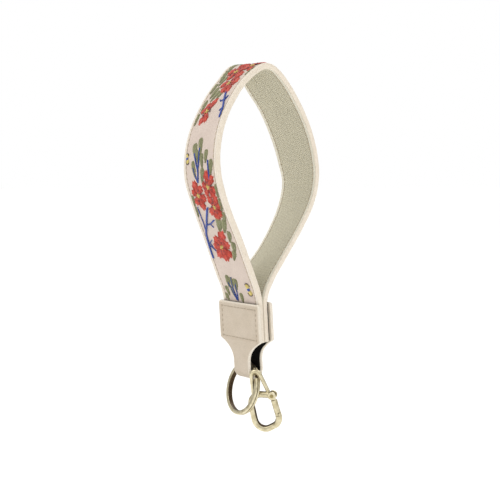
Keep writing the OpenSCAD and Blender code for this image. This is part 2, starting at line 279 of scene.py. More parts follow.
def end_scale(d, round_r):
    """How much of its thickness a rounded end has at distance d from it."""
    d = np.clip(d / round_r, 0, 1)
    return 0.25 + 0.75 * np.sqrt(1 - (1 - d) ** 2)


# ---- Swept threads and rows of stitches ----
def socket(tree, name, kind, is_output=False, default=None):
    made = tree.interface.new_socket(name, in_out="OUTPUT" if is_output else "INPUT",
                                     socket_type=kind)
    if default is not None:
        made.default_value = default
    return made.identifier


def measured(tree, curve, name, part):
    """Stores how far along a curve its points are, under a name."""
    spline = add(tree, "GeometryNodeSplineParameter")
    return add(tree, "GeometryNodeStoreNamedAttribute", {
        "Geometry": curve, "Name": name, "Value": spline.outputs[part]},
        domain="POINT", data_type="FLOAT").outputs[0]


def swept(tree, curve, radius, sides):
    """A round thread along a curve, whose points know how far round it they are."""
    ring = add(tree, "GeometryNodeCurvePrimitiveCircle", {"Resolution": sides, "Radius": radius})
    return add(tree, "GeometryNodeCurveToMesh", {
        "Curve": measured(tree, curve, "along", "Length"),
        "Profile Curve": measured(tree, ring.outputs[0], "around", "Factor"),
        "Fill Caps": True}).outputs[0]


def coated(tree, geometry, finish):
    return add(tree, "GeometryNodeSetMaterial", {
        "Geometry": geometry, "Material": finish}).outputs[0]


def spot(tree, y=0.0, z=0.0):
    return add(tree, "ShaderNodeCombineXYZ", {"Y": y, "Z": z}).outputs[0]


def thread_tree():
    """Sweeps every line of a mesh into a round thread."""
    tree = bpy.data.node_groups.new("swept thread", "GeometryNodeTree")
    ids = {"lines": socket(tree, "Lines", "NodeSocketGeometry"),
           "radius": socket(tree, "Thread radius", "NodeSocketFloat", default=0.0002),
           "sides": socket(tree, "Sides", "NodeSocketInt", default=5),
           "material": socket(tree, "Thread", "NodeSocketMaterial")}
    socket(tree, "Threads", "NodeSocketGeometry", is_output=True)
    start = add(tree, "NodeGroupInput")
    curve = add(tree, "GeometryNodeMeshToCurve", {"Mesh": start.outputs["Lines"]})
    plump = add(tree, "GeometryNodeInputNamedAttribute", {"Name": "plump"}, data_type="FLOAT")
    sized = add(tree, "GeometryNodeSetCurveRadius", {
        "Curve": curve.outputs[0], "Radius": plump.outputs["Attribute"]})
    thread = swept(tree, sized.outputs[0], start.outputs["Thread radius"],
                   start.outputs["Sides"])
    whole = add(tree, "GeometryNodeRealizeInstances", {"Geometry": thread})
    add(tree, "NodeGroupOutput", {0: coated(tree, whole.outputs[0], start.outputs["Thread"])})
    return tree, ids


def stitch_tree():
    """Lays one arched stitch after another along a line, with its needle holes."""
    tree = bpy.data.node_groups.new("row of stitches", "GeometryNodeTree")
    ids = {"lines": socket(tree, "Line", "NodeSocketGeometry"),
           "pitch": socket(tree, "Pitch", "NodeSocketFloat", default=0.003),
           "length": socket(tree, "Stitch length", "NodeSocketFloat", default=0.0022),
           "radius": socket(tree, "Thread radius", "NodeSocketFloat", default=0.00025),
           "material": socket(tree, "Thread", "NodeSocketMaterial"),
           "hole": socket(tree, "Needle hole", "NodeSocketMaterial")}
    socket(tree, "Stitches", "NodeSocketGeometry", is_output=True)
    start = add(tree, "NodeGroupInput")
    radius = start.outputs["Thread radius"]
    half = maths(tree, "MULTIPLY", start.outputs["Stitch length"], 0.5)
    back = maths(tree, "MULTIPLY", half, -1.0)
    # In thread radii: the stitch's feet, its crown's control point, the holes' depth and size
    sunk, crown, sink, hole_r = (maths(tree, "MULTIPLY", radius, times)
                                 for times in (-0.9, 2.1, -0.1, 1.35))
    arch = add(tree, "GeometryNodeCurveQuadraticBezier", {
        "Resolution": 6, "Start": spot(tree, back, sunk), "Middle": spot(tree, z=crown),
        "End": spot(tree, half, sunk)})
    thread = coated(tree, swept(tree, arch.outputs[0], radius, 8), start.outputs["Thread"])
    # The needle holes are flattened dark discs: painted shade in the holes
    ball = add(tree, "GeometryNodeMeshIcoSphere", {"Radius": hole_r, "Subdivisions": 1})
    hole = coated(tree, ball.outputs["Mesh"], start.outputs["Needle hole"])
    stitch = add(tree, "GeometryNodeJoinGeometry")
    tree.links.new(thread, stitch.inputs[0])
    for place in (half, back):
        dent = add(tree, "GeometryNodeTransform", {
            "Geometry": hole, "Translation": spot(tree, place, sink), "Scale": (0.9, 1.1, 0.3)})
        tree.links.new(dent.outputs[0], stitch.inputs[0])
    curve = add(tree, "GeometryNodeMeshToCurve", {"Mesh": start.outputs["Line"]})
    spaced = add(tree, "GeometryNodeResampleCurve", {
        "Curve": curve.outputs[0], "Length": start.outputs["Pitch"]}, mode="LENGTH")
    up = add(tree, "GeometryNodeInputNamedAttribute", {"Name": "up"}, data_type="FLOAT_VECTOR")
    run = add(tree, "GeometryNodeInputTangent")
    stood = add(tree, "FunctionNodeAlignRotationToVector", {
        "Vector": up.outputs["Attribute"]}, axis="Z")
    turned = add(tree, "FunctionNodeAlignRotationToVector", {
        "Rotation": stood.outputs[0], "Vector": run.outputs[0]}, axis="Y", pivot_axis="Z")
    laid = add(tree, "GeometryNodeInstanceOnPoints", {
        "Points": spaced.outputs[0], "Instance": stitch.outputs[0],
        "Rotation": turned.outputs[0]})
    whole = add(tree, "GeometryNodeRealizeInstances", {"Geometry": laid.outputs[0]})
    smooth = add(tree, "GeometryNodeSetShadeSmooth", {"Geometry": whole.outputs[0]})
    add(tree, "NodeGroupOutput", {0: smooth.outputs[0]})
    return tree, ids


def lines_mesh(name, lines, **attributes):
    """A mesh of open lines; each attribute is one list per line, of floats or vectors."""
    verts, edges = [], []
    for line in lines:
        at = len(verts)
        verts += [tuple(p) for p in line]
        edges += [(at + i, at + i + 1) for i in range(len(line) - 1)]
    mesh = bpy.data.meshes.new(name)
    mesh.from_pydata(verts, edges, [])
    for key, per_line in attributes.items():
        values = np.concatenate([np.asarray(v, float) for v in per_line])
        kind = "FLOAT" if values.ndim == 1 else "FLOAT_VECTOR"
        made = mesh.attributes.new(key, kind, "POINT")
        made.data.foreach_set("value" if kind == "FLOAT" else "vector", values.ravel())
    return mesh


def through_tree(name, mesh, tree_and_ids, materials, **values):
    """Runs a mesh through one of the trees and keeps the plain mesh that comes out."""
    tree, ids = tree_and_ids
    raw = bpy.data.objects.new(name + "_lines", mesh)
    bpy.context.scene.collection.objects.link(raw)
    maker = raw.modifiers.new("maker", "NODES")
    maker.node_group = tree
    for key, value in {**values, **materials}.items():
        maker[ids[key]] = value
    graph = bpy.context.evaluated_depsgraph_get()
    done = bpy.data.meshes.new_from_object(raw.evaluated_get(graph), depsgraph=graph)
    done.name = name
    raw.modifiers.remove(maker)
    bpy.data.objects.remove(raw)
    piece = bpy.data.objects.new(name, done)
    bpy.context.scene.collection.objects.link(piece)
    done.polygons.foreach_set("use_smooth", [True] * len(done.polygons))
    return piece


# ---- Materials ----
YARN = 1.15   # millimetres between the lining's rows, coarser than the usual 0.7 so they show


def material(name):
    """An empty node material with a Principled shader; returns it, its tree and the shader."""
    made = bpy.data.materials.new(name)
    made.use_nodes = True
    tree = made.node_tree
    tree.nodes.clear()
    shader = add(tree, "ShaderNodeBsdfPrincipled")
    add(tree, "ShaderNodeOutputMaterial", {"Surface": shader.outputs[0]})
    return made, tree, shader


def mixed(tree, factor, a, b, blend="MIX"):
    """The colour between a and b, each a socket or a linear colour."""
    return add(tree, "ShaderNodeMix", {0: factor, 6: a, 7: b}, data_type="RGBA",
               blend_type=blend).outputs[2]


def spread(tree, value, low=0.0, high=1.0, to_low=0.0, to_high=1.0):
    """Stretches the range from low to high over the range from to_low to to_high."""
    return add(tree, "ShaderNodeMapRange", {
        "Value": value, "From Min": low, "From Max": high, "To Min": to_low,
        "To Max": to_high}).outputs[0]


def noise(tree, vector, scale, detail, roughness=0.5):
    return add(tree, "ShaderNodeTexNoise", {
        "Vector": vector, "Scale": scale, "Detail": detail,
        "Roughness": roughness}).outputs["Fac"]


def attribute(tree, name):
    return add(tree, "ShaderNodeAttribute", attribute_name=name).outputs["Fac"]


def object_place(tree):
    return add(tree, "ShaderNodeTexCoord").outputs["Object"]


def bumped(tree, shader, height, distance, strength):
    bump = add(tree, "ShaderNodeBump", {
        "Height": height, "Distance": distance, "Strength": strength})
    tree.links.new(bump.outputs[0], shader.inputs["Normal"])


def leather_material(name, colour, border, mottle, grain_mm, depth):
    """Split leather with a pigmented finish: soft gloss, fine pores, paler where it is turned."""
    made, tree, shader = material(name)
    place = object_place(tree)
    # Cloudy dyeing, patches about 9 mm across
    cloud = spread(tree, noise(tree, place, 110.0, 4.0), 0.3, 0.7)
    base = mixed(tree, cloud, srgb(mottle), srgb(colour))
    base = mixed(tree, attribute(tree, "edge"), base, srgb(border))
    # Pores and wrinkles of the grain
    pores = add(tree, "ShaderNodeTexVoronoi", {
        "Vector": place, "Scale": 1000.0 / grain_mm, "Randomness": 1.0},
        feature="DISTANCE_TO_EDGE")
    soft = spread(tree, pores.outputs["Distance"], high=0.25)
    fibre = noise(tree, place, 1600.0 / grain_mm, 5.0, 0.6)
    crease = mixed(tree, soft, srgb("#000000"), srgb("#FFFFFF"))
    base = mixed(tree, 0.10, base, crease, "MULTIPLY")
    fill(tree, shader, {
        "Base Color": base, "Roughness": spread(tree, fibre, to_low=0.5, to_high=0.68),
        "IOR": 1.5, "Specular IOR Level": 0.35})
    bumped(tree, shader, maths(tree, "ADD", soft, fibre), depth * MM, 0.7)
    return made


def twill_material(name, colour, valley, band):
    """Cotton twill: diagonal ribs of yarn with pale yarns showing between, matt and fuzzy."""
    made, tree, shader = material(name)
    sheet = add(tree, "ShaderNodeUVMap", uv_map="sheet").outputs["UV"]
    parts = add(tree, "ShaderNodeSeparateXYZ", {"Vector": sheet})
    turns = 2 * math.pi * 1000 / YARN
    shift = maths(tree, "MULTIPLY", noise(tree, sheet, 260.0, 2.0), 2.6)

    def wave(along, across):
        slope = maths(tree, "MULTIPLY", parts.outputs["X"], along * turns)
        phase = maths(tree, "MULTIPLY_ADD", parts.outputs["Y"], across * turns, slope)
        sine = maths(tree, "SINE", maths(tree, "ADD", phase, shift))
        return maths(tree, "MULTIPLY_ADD", sine, 0.5, 0.5)

    weft, rib, warp = wave(1.0, 0.12), wave(1.0, 0.5), wave(0.0, 1.0)
    height = maths(tree, "MULTIPLY_ADD", rib, 0.4, maths(tree, "MULTIPLY", weft, warp))
    base = mixed(tree, spread(tree, height, high=1.3), srgb(valley), srgb(colour))
    slub = spread(tree, noise(tree, sheet, 900.0, 3.0), 0.42, 0.72, to_high=0.55)
    base = mixed(tree, slub, base, srgb("#D6D3BF"))
    base = mixed(tree, attribute(tree, "edge"), base, srgb(band))
    fill(tree, shader, {"Base Color": base, "Roughness": 0.9, "Specular IOR Level": 0.15,
                        "Sheen Weight": 0.15, "Sheen Roughness": 0.5})
    bumped(tree, shader, height, 0.0002, 1.0)
    return made


def thread_material(name, dark, light, twist_mm, gloss):
    """Twisted thread: two plies that wind round each other, shiny along their length."""
    made, tree, shader = material(name)
    wind = maths(tree, "MULTIPLY", attribute(tree, "along"), 2 * math.pi * 1000 / twist_mm)
    lay = maths(tree, "MULTIPLY_ADD", attribute(tree, "around"), 4 * math.pi, wind)
    ply = spread(tree, maths(tree, "SINE", lay), low=-1.0)
    base = mixed(tree, attribute(tree, "tone"), srgb(dark), srgb(light))
    shade = mixed(tree, ply, srgb("#8C8C8C"), srgb("#FFFFFF"))
    base = mixed(tree, 0.35, base, shade, "MULTIPLY")
    fill(tree, shader, {"Base Color": base, "Roughness": gloss, "Sheen Weight": 0.1})
    bumped(tree, shader, ply, 0.00005, 0.6)
    return made


def brass_material(name, bright, mid, dark, rough):
    """Brass plated and antiqued: worn bright outside, darker in the recesses with brown oxidised
    finish and painted shade.
    """
    made, tree, shader = material(name)
    place = object_place(tree)
    cloud = noise(tree, place, 420.0, 5.0)
    base = mixed(tree, spread(tree, cloud, 0.35, 0.65), srgb(mid), srgb(bright))
    speck = noise(tree, place, 1500.0, 3.0)
    # The edge attribute is painted shade on the inward faces, mixed with the oxidised finish;
    # specks add random tone
    oxide_and_shade = maths(tree, "MULTIPLY_ADD", speck, 0.5, attribute(tree, "edge"))
    base = mixed(tree, spread(tree, oxide_and_shade, 0.62, 1.15), base, srgb(dark))
    dull = spread(tree, cloud, to_low=rough - 0.06, to_high=rough + 0.1)
    fill(tree, shader, {"Base Color": base, "Metallic": 1.0, "Roughness": dull})
    bumped(tree, shader, speck, 0.00002, 0.35)
    return made


def plain_metal(name, light, dark, rough):
    """Small bare metal, drawn or turned, with fine lines of wear."""
    made, tree, shader = material(name)
    lines = noise(tree, object_place(tree), 2500.0, 3.0)
    fill(tree, shader, {"Base Color": mixed(tree, lines, srgb(dark), srgb(light)),
                        "Metallic": 1.0, "Roughness": rough})
    bumped(tree, shader, lines, 0.00002, 0.3)
    return made


def plain_material(name, colour, rough, grain_scale, depth, second, specular):
    """A matt finish with a fine grain of its own in two close tones."""
    made, tree, shader = material(name)
    grain = noise(tree, object_place(tree), grain_scale, 4.0)
    base = mixed(tree, spread(tree, grain, 0.3, 0.7), srgb(second), srgb(colour))
    fill(tree, shader, {"Base Color": base, "Roughness": rough, "Specular IOR Level": specular})
    bumped(tree, shader, grain, depth, 0.6)
    return made


# ---- Properties ----
class StrapSettings(bpy.types.PropertyGroup):
    face_colour: bpy.props.StringProperty(
        name="Face leather", description="Colour of the blush face leather", default="#D6C7BC")
    border_colour: bpy.props.StringProperty(
        name="Turned border", description="Colour of the face outside its topstitching",
        default="#E6DCCF")
    lining_colour: bpy.props.StringProperty(
        name="Twill lining", description="Colour of the woven lining", default="#E0DAC8")
    stitch_pitch: bpy.props.FloatProperty(
        name="Stitch pitch", description="Distance from one topstitch to the next",
        default=3.0 * MM, unit="LENGTH", subtype="DISTANCE")
    thread_d: bpy.props.FloatProperty(
        name="Sewing thread", description="Diameter of the sewing thread",
        default=0.42 * MM, unit="LENGTH", subtype="DISTANCE")


class EmbroiderySettings(bpy.types.PropertyGroup):
    thread_d: bpy.props.FloatProperty(
        name="Thread", description="Diameter of the embroidery thread",
        default=0.42 * MM, unit="LENGTH", subtype="DISTANCE")
    pitch: bpy.props.FloatProperty(
        name="Spacing", description="Distance between threads that lie side by side",
        default=0.36 * MM, unit="LENGTH", subtype="DISTANCE")
    blossom_colour: bpy.props.StringProperty(
        name="Blossoms", description="Colour of the lighter blossom threads", default="#E0503A")
    leaf_colour: bpy.props.StringProperty(
        name="Leaves", description="Colour of the lighter leaf threads", default="#A5A67A")
    branch_colour: bpy.props.StringProperty(
        name="Branches", description="Colour of the lighter branch threads", default="#3C5AB4")


class TabSettings(bpy.types.PropertyGroup):
    colour: bpy.props.StringProperty(
        name="Leather", description="Colour of the tab's leather", default="#CBBEAD")
    edge_colour: bpy.props.StringProperty(
        name="Painted edge", description="Colour of the tab's painted edges", default="#E9E0D1")
    stitch_pitch: bpy.props.FloatProperty(
        name="Stitch pitch", description="Distance from one box stitch to the next",
        default=2.6 * MM, unit="LENGTH", subtype="DISTANCE")


class HardwareSettings(bpy.types.PropertyGroup):
    bright: bpy.props.StringProperty(
        name="Worn brass", description="Colour where the antique finish is worn bright",
        default="#DCD3B6")
    dark: bpy.props.StringProperty(
        name="Oxidised finish and painted shade", description="Colour of the oxidised finish and painted shade in the recesses", default="#4A3B2B")
    roughness: bpy.props.FloatProperty(
        name="Roughness", description="Roughness of the polished brass", default=0.3,
        min=0.05, max=0.9, subtype="FACTOR")


# ---- Strap ----
GROOVE_X = STRAP_W / 2 - STITCH_INSET
RIM_R = 0.9        # rounding of the sewn layers' edges
RIM_T = 0.12       # thickness left at the rim
DIP, DIP_W = 0.2, 0.42                      # the stitches pull the layer in
SWELL, SWELL_OFF, SWELL_W = 0.1, 1.0, 0.6   # and it stands up beside them


def strap_outline(h_in, h_out, face_out):
    """Outline of one layer of the strap; its sewn face is the outer or the inner one."""
    half, fine, middle_x = STRAP_W / 2, 3.4, 10.6
    x = np.concatenate([np.linspace(-half, -half + fine, 15),
                        np.linspace(-middle_x, middle_x, 15),
                        np.linspace(half - fine, half, 15)])
    rim = np.maximum(0, np.abs(x) - (half - RIM_R))
    drop = RIM_R - np.sqrt(np.maximum(0, RIM_R ** 2 - rim ** 2))
    off = np.abs(x) - GROOVE_X
    relief = (SWELL * np.exp(-((off - SWELL_OFF) / SWELL_W) ** 2)
              - DIP * np.exp(-(off / DIP_W) ** 2))
    thick = h_out - h_in
    raised = np.maximum(RIM_T, thick + relief - np.minimum(drop, thick - RIM_T))
    if face_out:
        sewn, plain = h_in + raised, np.full(len(x), h_in)
    else:
        sewn, plain = h_out - raised, np.full(len(x), h_out)
    return np.concatenate([np.stack([x, sewn], -1), np.stack([x, plain], -1)[::-1]])


class WRISTLET_OT_strap(bpy.types.Operator):
    """Build the strap's face, stiffener, lining and painted edges"""
    bl_idname = "wristlet.strap"
    bl_label = "Strap"

    def execute(self, context):
        kit = context.scene.wristlet_strap
        step = 1.0
        rows = np.linspace(0, STRAP_LEN, int(STRAP_LEN / step))
        face_mat = leather_material("blush split leather, pigmented", kit.face_colour,
                                    kit.border_colour, "#CFBFB4", 0.8, 0.05)
        twill = twill_material("cotton twill, woven", kit.lining_colour, "#AEA891", "#E2DECF")
        felt = plain_material("polyester felt, needled", "#EFE8DA", 0.95, 1500, 0.0001,
                              "#DDD4C2", 0.1)
        paint = plain_material("edge paint, rolled on", "#E9DFD0", 0.5, 900, 0.00008,
                               "#DFD3C1", 0.35)

        def border(along, across, height):
            return smooth_step(np.abs(across), GROOVE_X - 0.15, GROOVE_X + 0.5)

        outer = strap_outline(LINING_T + CORE_T, STRAP_T, True)
        inner = strap_outline(0, LINING_T, False)
        face = sweep("strap_face_leather", rows, lambda r: outer, on_strap, face_mat, border)
        lining = sweep("strap_twill_lining", rows, lambda r: inner, on_strap, twill, border)
        half = STRAP_W / 2 - 0.15
        core = np.array([[-half, LINING_T], [0, LINING_T], [half, LINING_T],
                         [half, LINING_T + CORE_T], [0, LINING_T + CORE_T],
                         [-half, LINING_T + CORE_T]])
        stiffener = sweep("strap_stiffener", rows, lambda r: core, on_strap, felt)
        finish_piece(face, "strap", "blush_leather", "strap_face")
        finish_piece(lining, "strap", "twill_lining", "strap_lining")
        finish_piece(stiffener, "strap", "stiffener", "strap_core")
        turn = np.linspace(-math.pi / 2, math.pi / 2, 11)
        for side, word in ((1, "near"), (-1, "far")):
            bead_x = STRAP_W / 2 - 0.2 + (EDGE_T + 0.2) * np.cos(turn) ** 0.8
            bead_h = STRAP_T / 2 + (STRAP_T / 2 - 0.12) * np.sin(turn)
            shape = np.concatenate([[[STRAP_W / 2 - 0.5, STRAP_T - 0.4]],
                                    [[STRAP_W / 2 - 0.5, 0.4]],
                                    np.stack([bead_x, bead_h], -1)])
            shape = shape * [side, 1]
            bead = sweep("strap_edge_paint_" + word, rows,
                         lambda r: shape + [0, 0.05 * math.sin(r * 0.9) * math.sin(r * 0.37)],
                         on_strap, paint)
            finish_piece(bead, "strap", "edge_paint", "edge_paint_" + word)
        return {"FINISHED"}


TOPSTITCH_FROM = 22.5   # how far from the strap's hidden ends the rows start
TOPSTITCH_SEAT = 0.13   # how far the rows sit below the surface, in the dip


def stitched_line(place, s, x, h):
    """Points on a surface and the way out of it, for a row of stitches."""
    points = place(s, x, h)
    above = place(s, x, np.asarray(h) + 1.0)
    up = above - points
    return points, up / np.linalg.norm(up, axis=-1)[..., None]


def sew(name, node, rows, tree, materials, pitch, share, diameter):
    """Stitches along rows of points and ways up; share is the stitch's part of the pitch."""
    mesh = lines_mesh(name + "_rows", [row[0] for row in rows], up=[row[1] for row in rows])
    piece = through_tree(name, mesh, tree, materials, pitch=pitch, length=share * pitch,
                         radius=diameter / 2)
    finish_piece(piece, "strap", "sewing_thread", node)


class WRISTLET_OT_topstitching(bpy.types.Operator):
    """Sew the two rows of topstitching, which show on the face and on the lining"""
    bl_idname = "wristlet.topstitching"
    bl_label = "Topstitching"

    def execute(self, context):
        kit = context.scene.wristlet_strap
        thread = thread_material("bonded nylon sewing thread, twisted", "#C9B9A0", "#DDD0BB",
                                 0.9, 0.5)
        # Colour of the needle-hole discs: painted shade in the holes
        hole = plain_material("needle hole in leather, shaded", "#8F7F70", 0.9, 3000, 0.00001,
                              "#7E6F61", 0.1)
        tree = stitch_tree()
        s = np.arange(TOPSTITCH_FROM, STRAP_LEN - TOPSTITCH_FROM, 0.75)
        for side, word in ((1, "near"), (-1, "far")):
            rows = []
            for h, way in ((STRAP_T - TOPSTITCH_SEAT, 1), (TOPSTITCH_SEAT, -1)):
                points, up = stitched_line(on_strap, s, side * GROOVE_X, h)
                rows.append((points, up * way))
            sew("topstitch_thread_" + word, "topstitch_" + word, rows, tree,
                {"material": thread, "hole": hole}, kit.stitch_pitch, 0.74, kit.thread_d)
        return {"FINISHED"}


# ---- Embroidery on the front half, as distances along and across the strap in millimetres ----
# A leaf is its two tips and its width
LEAVES = [
    ((115.6, -0.8), (107.0, 1.0), 3.4), ((113.3, -5.4), (105.6, -3.8), 3.9),
    ((109.0, 5.9), (102.6, 5.4), 2.9), ((107.6, 1.6), (100.4, 2.6), 2.8),
    ((104.6, -6.0), (95.8, -4.2), 2.6), ((104.0, 10.3), (96.6, 9.4), 2.9),
    ((100.4, 2.6), (93.4, 1.0), 2.9), ((110.0, -2.8), (103.6, -1.4), 2.2),
    ((92.2, 12.0), (85.4, 11.3), 2.3), ((85.0, 11.9), (78.2, 10.9), 2.6),
    ((77.6, 11.0), (70.9, 9.8), 3.0), ((74.0, 5.0), (65.0, 2.2), 4.0),
    ((73.0, 9.2), (65.2, 6.0), 3.4), ((66.2, 9.6), (59.4, 7.4), 3.0),
    ((59.6, 9.7), (52.8, 8.2), 3.2), ((54.0, 8.0), (48.4, 5.4), 2.8),
    ((86.9, -10.9), (80.4, -11.6), 1.7), ((80.2, -11.2), (73.6, -11.8), 1.5),
    ((38.4, -5.6), (30.6, -7.0), 2.9), ((36.6, 0.2), (28.4, -1.8), 3.1),
    ((37.4, -2.8), (30.4, -4.0), 2.2), ((31.2, -9.8), (25.0, -8.4), 2.4),
    ((31.0, -5.4), (24.8, -4.2), 2.4), ((26.2, -11.8), (21.4, -9.4), 2.2),
    ((27.4, 1.2), (21.4, 2.4), 2.4), ((168.0, -10.6), (159.6, -9.2), 2.9),
    ((161.4, -10.8), (152.6, -9.4), 3.2), ((156.4, -6.6), (149.0, -7.4), 3.0),
    ((151.6, -10.8), (144.0, -10.2), 3.2), ((147.6, -6.0), (140.0, -7.6), 3.4),
    ((144.0, -2.2), (137.4, -5.4), 3.2), ((143.6, 2.2), (137.2, -1.2), 2.8),
    ((139.6, -9.6), (131.4, -9.8), 2.6), ((131.0, -10.6), (124.0, -10.8), 1.9),
    ((160.4, 11.9), (151.0, 11.9), 1.7), ((173.0, -9.0), (166.4, -7.0), 2.8),
]
# A blossom is its centre, then each petal's tip and width
BLOSSOMS = [
    ((91.2, 5.4), [((99.4, 5.6), 5.4), ((96.6, 10.6), 5.0), ((92.6, 0.4), 4.6),
                   ((85.6, 8.6), 5.4), ((89.0, 11.2), 4.2), ((87.0, 1.6), 4.2)]),
    ((86.9, -5.0), [((95.0, -6.6), 5.6), ((92.0, -0.8), 4.6), ((84.8, 0.6), 5.2),
                    ((78.6, -3.8), 5.6), ((81.8, -9.8), 5.0), ((89.4, -10.2), 4.4)]),
    ((80.4, 6.0), [((86.6, 2.4), 5.0), ((86.4, 9.6), 4.6), ((75.2, 9.6), 5.2),
                   ((72.4, 4.4), 5.4), ((76.4, 0.0), 5.4), ((81.6, 10.8), 4.2)]),
    ((56.4, -0.8), [((66.8, 4.0), 6.4), ((62.8, -4.2), 6.2), ((56.6, -7.4), 6.4),
                    ((49.6, -6.8), 6.0), ((47.6, -0.6), 6.4), ((50.6, 5.0), 5.6),
                    ((58.6, 6.0), 5.8)]),
    ((158.6, -1.0), [((168.8, -1.2), 6.6), ((160.6, -8.0), 6.2), ((152.4, -2.4), 5.4),
                     ((154.0, 6.0), 6.2), ((163.8, 6.6), 6.6)]),
    ((147.8, 2.6), [((156.6, 6.4), 6.0), ((149.4, -4.8), 5.6), ((141.6, 1.6), 5.8),
                    ((140.8, 7.4), 5.4), ((148.0, 10.2), 6.0)]),
    ((162.6, 8.4), [((169.6, 5.2), 5.2), ((168.6, 11.4), 4.6), ((156.6, 11.4), 5.2),
                    ((161.0, 3.4), 5.0)]),
    ((131.0, -3.4), [((138.6, 0.8), 5.0), ((136.6, -5.6), 4.6), ((132.6, -9.4), 3.8),
                     ((123.8, -6.4), 4.6), ((124.6, -1.2), 4.8)]),
]
# A branch is a line of stem stitches and how many threads wide it is
BRANCHES = [
    ([(80.6, -0.4), (74.6, -4.2), (69.5, -7.0), (64.7, -10.2), (57, -11.4), (48.7, -11.6)], 3),
    ([(80.4, -9.4), (75.5, -9.2), (70.6, -9.0), (66.6, -9.6)], 1),
    ([(69.6, -6.8), (70.4, -3.2), (73.0, 1.2)], 2), ([(70.4, -3.2), (68.4, -1.4)], 1),
    ([(60.4, -7.4), (58.8, -9.4), (57.4, -11.2)], 1), ([(58.6, -9.6), (55.4, -8.4)], 1),
    ([(57.0, -11.4), (55.6, -8.8), (53.4, -6.6)], 1),
    ([(93.6, -2.4), (99.8, -1.2), (103.2, -2.6), (108.6, -4.6)], 2),
    ([(99.8, -1.2), (105.0, -0.2), (110.9, -0.2)], 2),
    ([(93.6, -2.6), (98.4, -4.4), (101.4, -5.6)], 1),
    ([(94.6, 8.0), (99.4, 8.0), (104.0, 7.6)], 2),
    ([(37.6, -2.4), (29.5, -4.0), (22.3, -1.8)], 1),
    ([(34.6, -6.2), (28.4, -5.0), (22.6, -2.4)], 1),
    ([(33.6, -0.8), (27.4, -1.4), (22.4, -1.6)], 1),
    ([(141.6, 5.6), (137.4, 7.6), (134.3, 9.0), (130.4, 11.2), (124.6, 11.6)], 3),
    ([(135.8, 8.4), (134.8, 5.8), (136.4, 4.2)], 1), ([(134.3, 9.0), (137.6, 10.6)], 1),
    ([(130.4, 11.0), (128.6, 8.8)], 1),
]
BUTTERFLIES = [((106.4, -11.0), 0.7), ((30.6, 9.2), 1.0)]
# The hidden half repeats the design this much further along
REPEATS = (0.0, 152.0)
SEWN_FROM, SEWN_TO = 20.5, STRAP_LEN - 20.5
SEWN_HALF = GROOVE_X - 0.45
THREAD_SINK = 0.16   # how far a thread's ends go into the leather
THREAD_END = 0.6     # how thick they are there, as a share of the middle
LANE = 0.34          # between a branch's stem stitches side by side
STEM_STEP, STEM_LEN = 1.25, 2.3


class Threads:
    """Collects the lines of one colour of thread, with their tones and plumpness."""

    def __init__(self, seed):
        self.draw = random.Random(seed)
        self.lines, self.tones, self.plumps = [], [], []

    def lay(self, a, b, lift, tone, base=0.02, points=6):
        """One thread from a to b on the strap, sinking into the leather at both ends."""
        (sa, xa), (sb, xb) = (float(a[0]), float(a[1])), (float(b[0]), float(b[1]))
        if not (SEWN_FROM < min(sa, sb) and max(sa, sb) < SEWN_TO):
            return
        if max(abs(xa), abs(xb)) > SEWN_HALF:
            xa, xb = (max(-SEWN_HALF, min(SEWN_HALF, x)) for x in (xa, xb))
        u = np.linspace(0, 1, points)
        arch = np.sin(math.pi * np.clip(u * 1.16 - 0.08, 0, 1)) ** 0.45
        h = STRAP_T + base - THREAD_SINK + (lift + THREAD_SINK) * arch
        self.lines.append(on_strap(sa + (sb - sa) * u, xa + (xb - xa) * u, h))
        tone = min(1, max(0, tone + self.draw.uniform(-0.16, 0.16)))
        self.tones.append(np.full(points, tone))
        self.plumps.append(THREAD_END + (1 - THREAD_END) * np.sin(math.pi * u) ** 0.5)

    def piece(self, name, tree, thread, diameter):
        mesh = lines_mesh(name, self.lines, tone=self.tones, plump=self.plumps)
        return through_tree(name, mesh, tree, {"material": thread},
                            radius=diameter / 2, sides=5)


def satin_leaf(threads, a, b, width, pitch):
    """Fills a leaf with slanted satin stitches either side of its middle vein."""
    a, b = np.array(a), np.array(b)
    run = (b - a) / np.linalg.norm(b - a)
    length = np.linalg.norm(b - a)
    side = np.array([-run[1], run[0]])
    count = max(4, int(length / pitch / 1.1))
    for way in (-1, 1):
        for k in range(count):
            u = (k + 0.5) / count
            half = 1.12 * width / 2 * math.sin(math.pi * u ** 0.85) ** 0.7
            if half < 0.15:
                continue
            jag = threads.draw.uniform(-0.16, 0.22)
            vein = a + run * length * u + side * way * 0.03
            rim = vein + side * way * (half + jag) - run * (half * 0.9)
            tone = (0.7 if way > 0 else 0.42) - 0.45 * abs(u - 0.4)
            threads.lay(vein, rim, 0.22, tone, points=5)


def satin_petal(threads, centre, tip, width, pitch, layer):
    """Fills a petal with threads that fan out from the blossom's centre to a lobed rim."""
    centre, tip = np.array(centre), np.array(tip)
    length = np.linalg.norm(tip - centre)
    run = (tip - centre) / length
    side = np.array([-run[1], run[0]])
    count = max(5, int(width / pitch))
    for k in range(count):
        w = 2 * (k + 0.5) / count - 1
        reach = length * (1 - 0.3 * abs(w) ** 2.4) * (1 - 0.06 * math.cos(3 * math.pi * w))
        reach += threads.draw.uniform(-0.3, 0.2)
        root = centre + run * 0.9 + side * w * width * 0.2
        rim = centre + run * reach + side * w * width / 2
        part = root + (rim - root) * (0.48 + threads.draw.uniform(-0.1, 0.1))
        tone = 0.78 - 0.75 * abs(w) ** 1.6
        threads.lay(part, rim, 0.24 + 0.07 * layer, tone + 0.1, base=0.02 + 0.05 * layer,
                    points=5)
        threads.lay(root, part + run * 0.5, 0.28 + 0.07 * layer, tone - 0.25,
                    base=0.06 + 0.05 * layer, points=5)


